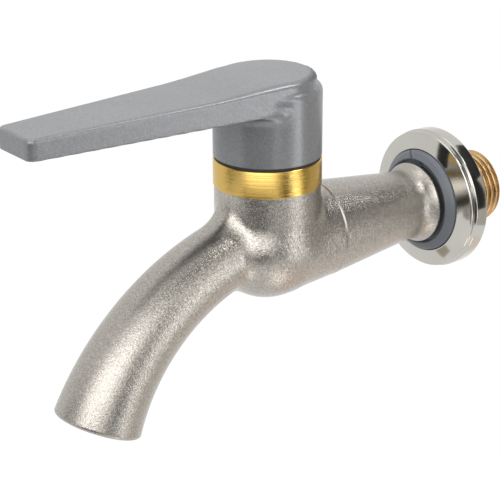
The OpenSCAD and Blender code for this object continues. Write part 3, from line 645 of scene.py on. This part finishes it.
def buildSplitRing():
    s = splitSizes
    piece = turned("splitRing", [
        (s["innerR"], s["faceY"] + 0.1, 0.25),
        (s["innerR"] + 0.5, s["faceY"] - 0.15, 0.3),
        (s["outerR"] - 0.75, s["faceY"] + 0.75, 0.5),
        (s["outerR"], s["faceY"] + 1.6, 0.3),
        (s["outerR"], s["backY"], 0),
        (s["gripR"], s["backY"], 0),
        (s["gripR"], s["stepY"], 0),
        (s["innerR"], s["stepY"], 0)], "Y", steps=150)
    deselectAll()
    bpy.ops.mesh.primitive_cube_add(size=mm)
    saw = bpy.context.object
    wide = s["outerR"] - s["gripR"]
    saw.scale = (wide * 2.2, 40, s["slit"])
    bpy.ops.object.transform_apply(location=True, rotation=True, scale=True)
    saw.rotation_euler = (0, -math.radians(s["slitSlant"]), 0)
    bpy.ops.object.transform_apply(location=True, rotation=True, scale=True)
    saw.location = ((s["innerR"] + s["outerR"]) / 2 * mm, 0, 0)
    bpy.ops.object.transform_apply(location=True, rotation=True, scale=True)
    saw.rotation_euler = (0, -math.radians(s["slitAngle"]), 0)
    bpy.ops.object.transform_apply(location=True, rotation=True, scale=True)
    cutAway(piece, saw)
    cleanUp(piece, 34)
    return finishPiece(piece, "tap_body", ringGrey, "ring_plastic", "split_ring")


buildRosette()
buildSplitRing()
print("rosette and split ring done")


bonnetSizes = {
    "outR": 14.45, "bottom": 16.9, "top": 24.3, "bevel": 0.3, "screwR": 11.0, "foot": 12.3, "cavityR": 7.3,
    "roof": 14.8, "holeR": 4.55, "hubR": 10.8, "hubTop": 27.2, "rimTop": 28.65, "rimInR": 9.0, "window": 131.8,
}


def buildBonnet():
    b = bonnetSizes
    at = (0, spindleY, 0)
    piece = turned("bonnetRing", [
        (b["cavityR"], b["foot"], 0), (b["screwR"], b["foot"], 0), (b["screwR"], b["bottom"], 0),
        (b["outR"], b["bottom"], b["bevel"]), (b["outR"], b["top"], b["bevel"]), (b["hubR"], b["top"], 0),
        (b["hubR"], b["rimTop"], 0.2), (b["rimInR"], b["rimTop"], 0), (b["rimInR"], b["hubTop"], 0),
        (b["holeR"], b["hubTop"], 0), (b["holeR"], b["roof"], 0), (b["cavityR"], b["roof"], 0)], "Z", at, 200)
    window = turned("windowCut", [
        (b["rimInR"] - 0.2, b["hubTop"], 0), (b["hubR"] + 0.8, b["hubTop"], 0), (b["hubR"] + 0.8, 32, 0),
        (b["rimInR"] - 0.2, 32, 0)], "Z", at, 64, b["window"], 90 - b["window"] / 2)
    cutAway(piece, window)
    cleanUp(piece, 34)
    return finishPiece(piece, "tap_body", ringBrass, "bonnet_brass", "bonnet")


buildBonnet()
print("bonnet done")


# inner pieces and trim keep their solids, with their own finish

innerPieces = [
    ("slip_washer", "slipWasher", "tap_body", sealBlack, "slip_black"),
    ("bonnet_seal", "bonnetSeal", "tap_body", sealBlack, "seal_rubber"),
    ("joint_oring", "jointRing", "tap_body", sealBlack, "seal_rubber"),
    ("seat_orings", "seatRings", "tap_body", sealBlack, "seal_rubber"),
    ("wall_gasket", "wallGasket", "tap_body", sealBlack, "seal_rubber"),
    ("front_seat", "frontSeat", "tap_body", seatWhite, "seat_plastic"),
    ("rear_seat", "rearSeat", "tap_body", seatWhite, "seat_plastic"),
    ("lower_washer", "lowerWasher", "tap_body", seatWhite, "seat_plastic"),
    ("upper_washer", "upperWasher", "tap_body", seatWhite, "seat_plastic"),
    ("ball", "valveBall", "ball", ballChrome, "ball_chrome"),
    ("spindle", "leverSpindle", "handle", spindleBrass, "spindle_brass"),
    ("spindle_orings", "spindleRings", "handle", sealBlack, "seal_rubber"),
    ("stop_washer", "stopWasher", "handle", stampedSteel, "washer_steel"),
    ("circlip", "springClip", "handle", stampedSteel, "washer_steel"),
    ("grub_screw", "grubScrew", "handle", stampedSteel, "washer_steel"),
]
for node, name, body, material, slot in innerPieces:
    finishPiece(copyOfNode(node, name), body, material, slot, node)
print("inner pieces dressed")


# the lever

leverSizes = {
    "bossR": 14.4, "bottom": 24.9, "bottomBevel": 0.25, "shoulderZ": 44.3, "shoulder": 2.1,
    "under": 39.1, "top": 46.1, "fall": 1.15, "rearR": 13.4, "rearY": -0.7, "rearRise": 0.95, "rearEdge": 1.7, "length": 75.6, "tipHalf": 7.85, "tipCorner": 2.2,
    "edge": 1.0, "lowEdge": 0.45, "rearBlend": 0.35, "flankBlend": 1.0, "underBlend": 3.6,
    "cavityR": 11.9, "cavityTop": 38.5, "hubR": 8.0, "hubZ": 29.8, "square": 6.5, "squareTop": 38.35,
    "screwR": 2.55, "screwZ": 34.5, "hollow": 3.2, "hollowFrom": 18.0, "hollowWall": 2.2, "rib": 1.6, "voxel": 0.37,
}


def roundMax(a, b, ease):  # the space inside both, with its edge rounded
    return np.minimum(np.maximum(a, b) + ease, 0) + np.hypot(np.maximum(a + ease, 0), np.maximum(b + ease, 0)) - ease


def leverLean():  # angle between the lever's flank and its middle line
    s = leverSizes
    sideX, sideY = s["tipHalf"] - s["tipCorner"], s["length"] - s["tipCorner"] + s["rearY"]
    return math.pi / 2 - math.acos((s["rearR"] - s["tipCorner"]) / math.hypot(sideX, sideY)) - math.atan2(sideX, sideY)


def leverGap(p):  # distance of each point from the lever's outer skin
    s = leverSizes
    x, y, z = np.abs(p[:, 0]), p[:, 1], p[:, 2]
    away = np.hypot(x, y)
    lean = leverLean()
    boss = roundMax(away - s["bossR"], z - s["shoulderZ"], s["shoulder"])
    rear = y - s["rearY"]
    flank = x * math.cos(lean) - rear * math.sin(lean) - s["rearR"]
    front = roundMax(flank, -y - s["length"], s["tipCorner"])
    plan = np.where(rear * math.cos(lean) + x * math.sin(lean) > 0, np.hypot(x, rear) - s["rearR"], front)
    swell = smoothStep(y, -26, -4)  # the lever grows thicker and rounder over the boss
    edge = s["edge"] + (s["rearEdge"] - s["edge"]) * swell
    arm = roundMax(plan, z - s["top"] - math.tan(math.radians(s["fall"])) * y - s["rearRise"] * swell, edge)
    arm = roundMax(arm, s["under"] - z, s["lowEdge"])
    blend = s["rearBlend"] + (s["flankBlend"] - s["rearBlend"]) * smoothStep(-y, 0, 7)
    blend = blend + (s["underBlend"] - blend) * smoothStep(-z, -41.6, -39.4) * smoothStep(-y, 1, 6)
    return softMin(boss, arm, blend)


def buildLever():
    s = leverSizes
    at = (0, spindleY, 0)
    piece = turned("leverRough", [(0, 22, 0), (s["bossR"], 22, 0), (s["bossR"], 43, 0), (0, 43, 0)], "Z", at, 96)
    rear = turned("rearRough", [(0, 40, 0), (s["rearR"], 40, 0), (s["rearR"], 45.5, 0), (0, 45.5, 0)], "Z", at, 96)
    deselectAll()
    middle = (s["top"] + s["under"]) / 2 - 0.3
    bpy.ops.mesh.primitive_cube_add(size=mm, location=(0, spindleY - s["length"] / 2 * mm, middle * mm))
    arm = bpy.context.object
    arm.scale = (2 * s["rearR"], s["length"], s["top"] - s["under"] - 1)
    bpy.ops.object.transform_apply(location=True, rotation=True, scale=True)
    selectVerts(arm, lambda co: co.y < spindleY - s["length"] / 2 * mm)
    tip = (0, spindleY - s["length"] * mm, middle * mm)
    bpy.ops.transform.resize(value=(s["tipHalf"] / s["rearR"], 1, 1), center_override=tip)
    bpy.ops.object.mode_set(mode="OBJECT")
    makeActive(piece)
    rear.select_set(True)
    arm.select_set(True)
    bpy.ops.object.join()
    piece.name = piece.data.name = "lever"
    applyModifier(piece, "REMESH", mode="VOXEL", voxel_size=s["voxel"] * mm, adaptivity=0.0)
    for _ in range(3):
        pullToSkin(piece, leverGap)
        applyModifier(piece, "SMOOTH", factor=0.5, iterations=2)
    pullToSkin(piece, leverGap, 4)
    print("lever skin drawn out,", len(piece.data.vertices), "points")

    bevel, bottom = s["bottomBevel"], s["bottom"]
    tools = turned("bossCut", [
        (0, 18, 0), (20, 18, 0), (20, bottom + bevel + 0.6, 0), (s["bossR"] + 0.6, bottom + bevel + 0.6, 0),
        (s["bossR"] - bevel, bottom, 0), (s["cavityR"] + 0.2, bottom, 0), (s["cavityR"], bottom + 0.2, 0),
        (s["cavityR"], s["cavityTop"], 0), (s["hubR"], s["cavityTop"], 0), (s["hubR"], s["hubZ"], 0),
        (0, s["hubZ"], 0)], "Z", at, 160)
    deselectAll()
    low = s["hubZ"] - 1
    bpy.ops.mesh.primitive_cube_add(size=mm, location=(0, spindleY, (low + s["squareTop"]) / 2 * mm))
    square = bpy.context.object
    square.scale = (s["square"], s["square"], s["squareTop"] - low)
    bpy.ops.object.transform_apply(location=True, rotation=True, scale=True)
    joinOn(tools, square)
    bore = turned("screwCut", [(0, 1, 0), (s["screwR"], 1, 0), (s["screwR"], 30, 0), (0, 30, 0)], "Y",
        (0, spindleY, s["screwZ"] * mm), 48)
    joinOn(tools, bore)
    far = s["length"] - s["hollowWall"]
    for side in (-1, 1):
        deselectAll()
        bpy.ops.mesh.primitive_cube_add(size=mm, location=(0, 0, (s["under"] + s["hollow"] / 2 - 1) * mm))
        pocket = bpy.context.object
        pocket.scale = (1, 1, s["hollow"] + 2)
        bpy.ops.object.transform_apply(location=True, rotation=True, scale=True)
        for v in pocket.data.vertices:
            along = s["hollowFrom"] if v.co.y > 0 else far
            half = s["tipHalf"] + (s["rearR"] - s["tipHalf"]) * (s["length"] - along) / s["length"]
            across = s["rib"] / 2 if v.co.x * side < 0 else half - s["hollowWall"]
            v.co.x, v.co.y = side * across * mm, spindleY - along * mm
        cleanUp(pocket)
        applyModifier(pocket, "BEVEL", width=0.5 * mm, segments=3, limit_method="ANGLE")
        joinOn(tools, pocket)
    cutAway(piece, tools)
    cleanUp(piece, 36)
    return finishPiece(piece, "handle", leverGrey, "lever_paint", "lever")


lever = buildLever()
print("lever done,", len(lever.data.polygons), "faces")


# camera at the photograph's angle

viewSetup = {"azimuth": 52.927, "elevation": 21.079, "roll": -0.228, "distance": 450.0, "aside": (-4.666, -2.26), "lens": 120.73}


def placeCamera():
    v = viewSetup
    az, el, roll = (math.radians(v[k]) for k in ("azimuth", "elevation", "roll"))
    right = Vector((math.cos(az), math.sin(az), 0))
    back = Vector((math.sin(az) * math.cos(el), -math.cos(az) * math.cos(el), math.sin(el)))
    up = back.cross(right)
    right, up = right * math.cos(roll) + up * math.sin(roll), up * math.cos(roll) - right * math.sin(roll)
    spot = (right * v["aside"][0] + up * v["aside"][1] + back * v["distance"]) * mm + Vector((0, spindleY, 0))
    data = bpy.data.cameras.new("photoCamera")
    data.lens, data.sensor_width, data.sensor_fit = v["lens"], 36, "HORIZONTAL"
    data.clip_start, data.clip_end = 0.02, 20
    camera = bpy.data.objects.new("photoCamera", data)
    bpy.context.scene.collection.objects.link(camera)
    turn = Matrix((right, up, back)).transposed().to_4x4()
    camera.matrix_world = Matrix.Translation(spot) @ turn
    bpy.context.scene.camera = camera
    return camera, right, up, back


camera, viewRight, viewUp, viewBack = placeCamera()


# floor, lamps and surroundings

stageSizes = {"floorZ": -0.60, "floor": 12.0}


def towards(azimuth, elevation):  # azimuth 0 looks out of the wall, 90 to the right
    az, el = math.radians(azimuth), math.radians(elevation)
    return Vector((math.sin(az) * math.cos(el), -math.cos(az) * math.cos(el), math.sin(el)))


def buildStage():
    deselectAll()
    bpy.ops.mesh.primitive_plane_add(size=stageSizes["floor"], location=(0, 0, stageSizes["floorZ"]))
    floor = bpy.context.object
    floor.name = "paleFloor"
    material = bpy.data.materials.new("paleFloor")
    material.use_nodes = True
    tree = material.node_tree
    tree.nodes.clear()
    end = addNode(tree, "ShaderNodeOutputMaterial", (600, 0))
    matte = addNode(tree, "ShaderNodeBsdfDiffuse", (0, 0), None, Color=(0.3, 0.3, 0.3, 1))
    glow = addNode(tree, "ShaderNodeEmission", (0, -150), None, Color=(1, 1, 1, 1), Strength=1.09)
    seen = seenDirectly(tree)
    share = mathNode(tree, "MULTIPLY", seen, 0.9, (0, 200))
    mixed = addNode(tree, "ShaderNodeMixShader", (300, 0))
    tree.links.new(share, mixed.inputs[0])
    tree.links.new(matte.outputs[0], mixed.inputs[1])
    tree.links.new(glow.outputs[0], mixed.inputs[2])
    tree.links.new(mixed.outputs[0], end.inputs[0])
    floor.data.materials.append(material)


def seenDirectly(tree):  # 1 where a camera, mirror or glass ray meets the backdrop
    path = addNode(tree, "ShaderNodeLightPath", (-600, 200))
    seen = mathNode(tree, "MAXIMUM", path.outputs["Is Camera Ray"], path.outputs["Is Glossy Ray"], (-400, 200))
    return mathNode(tree, "MAXIMUM", seen, path.outputs["Is Transmission Ray"], (-200, 200))


studioAim = Vector((0, spindleY, 0.005))

# softboxes: name, azimuth, elevation, distance, width, height, roll, power
softboxes = [
    ("keySoftbox", 38, 24, 0.85, 0.98, 0.52, 0, 3.2),
    ("edgeStrip", 113, 0, 0.80, 0.14, 0.75, 24, 1.0),
    ("rimLamp", 138, 54, 0.80, 0.16, 0.16, 0, 1.1),
    ("topSoftbox", -20, 82, 0.75, 0.55, 0.45, 0, 0.85),
]

# cards that only mirrors see, the nearer ones over the others:
# name, azimuth, elevation, distance, width, height, roll, colour
mirrorCards = [
    ("upperCard", 94, 58, 0.95, 0.70, 0.70, 0, (0.3, 0.3, 0.28)),
    ("slimCard", 92, 3, 0.96, 0.34, 0.75, -8, (0.02, 0.02, 0.02)),
    ("rimCard", 133, 9, 0.97, 0.22, 0.74, 0, (0.02, 0.02, 0.02)),
    ("rearCard", 160, 37, 0.98, 0.80, 0.46, 0, (0.04, 0.04, 0.04)),
    ("rearWall", 155, 0, 0.99, 1.10, 1.60, 0, (0.62, 0.6, 0.56)),
    ("sideCard", -29, 5, 0.99, 0.20, 0.32, 0, (0.03, 0.03, 0.03)),
    ("frontCard", -13, 14, 1.00, 0.15, 0.30, 0, (0.25, 0.25, 0.25)),
    ("lowCard", 33, -17, 1.01, 1.25, 0.46, 0, (0.08, 0.075, 0.07)),
    ("tableSpot", -39, -41, 0.85, 0.13, 0.09, 25, (0.5, 0.45, 0.36)),
    ("tableGleam", 98, -60, 0.58, 0.14, 0.14, 0, (4.0, 3.75, 3.5)),
    ("tableCard", 150, -58, 0.60, 0.62, 0.38, 0, (1.0, 0.9, 0.82)),
]


def facing(spot, roll):
    aim = (studioAim - spot).to_track_quat("-Z", "Y").to_matrix()
    return (aim @ Matrix.Rotation(math.radians(roll), 3, "Z")).to_euler()


def addSoftbox(name, azimuth, elevation, distance, width, height, roll, power):
    data = bpy.data.lights.new(name, "AREA")
    data.shape, data.size, data.size_y = "RECTANGLE", width, height
    data.energy = power
    lamp = bpy.data.objects.new(name, data)
    bpy.context.scene.collection.objects.link(lamp)
    lamp.location = studioAim + towards(azimuth, elevation) * distance
    lamp.rotation_euler = facing(lamp.location, roll)
    lamp.visible_camera = False


def addCard(name, azimuth, elevation, distance, width, height, roll, tint):
    deselectAll()
    bpy.ops.mesh.primitive_plane_add(size=1)
    card = bpy.context.object
    card.name = card.data.name = name
    card.scale = (width, height, 1)
    card.location = studioAim + towards(azimuth, elevation) * distance
    card.rotation_euler = facing(card.location, roll)
    material = bpy.data.materials.new(name)
    material.use_nodes = True
    tree = material.node_tree
    tree.nodes.clear()
    end = addNode(tree, "ShaderNodeOutputMaterial", (300, 0))
    flat = addNode(tree, "ShaderNodeEmission", (0, 0), None, Color=colour(tint), Strength=1.0)
    tree.links.new(flat.outputs[0], end.inputs[0])
    card.data.materials.append(material)
    card.visible_camera = card.visible_diffuse = card.visible_shadow = card.visible_transmission = False


def buildLight():
    world = bpy.data.worlds.new("studio")
    bpy.context.scene.world = world
    world.use_nodes = True
    tree = world.node_tree
    tree.nodes.clear()
    end = addNode(tree, "ShaderNodeOutputWorld", (600, 0))
    way = addNode(tree, "ShaderNodeTexCoord", (-900, -100)).outputs["Generated"]
    split = addNode(tree, "ShaderNodeSeparateXYZ", (-700, -100), None, Vector=way)
    low = spread(tree, split.outputs[2], -0.2, 0.7, 0.15, 1.1, (-400, -100))
    fill = addNode(tree, "ShaderNodeBackground", (0, -100), None, Color=(1, 1, 1, 1), Strength=low)
    shown = addNode(tree, "ShaderNodeBackground", (0, 100), None, Color=(1, 1, 1, 1), Strength=1.0)
    mixed = addNode(tree, "ShaderNodeMixShader", (300, 0))
    tree.links.new(seenDirectly(tree), mixed.inputs[0])
    tree.links.new(fill.outputs[0], mixed.inputs[1])
    tree.links.new(shown.outputs[0], mixed.inputs[2])
    tree.links.new(mixed.outputs[0], end.inputs[0])
    for lamp in softboxes:
        addSoftbox(*lamp)
    for card in mirrorCards:
        addCard(*card)


buildStage()
buildLight()
bpy.context.scene.view_settings.view_transform = "Standard"
print("scene ready")
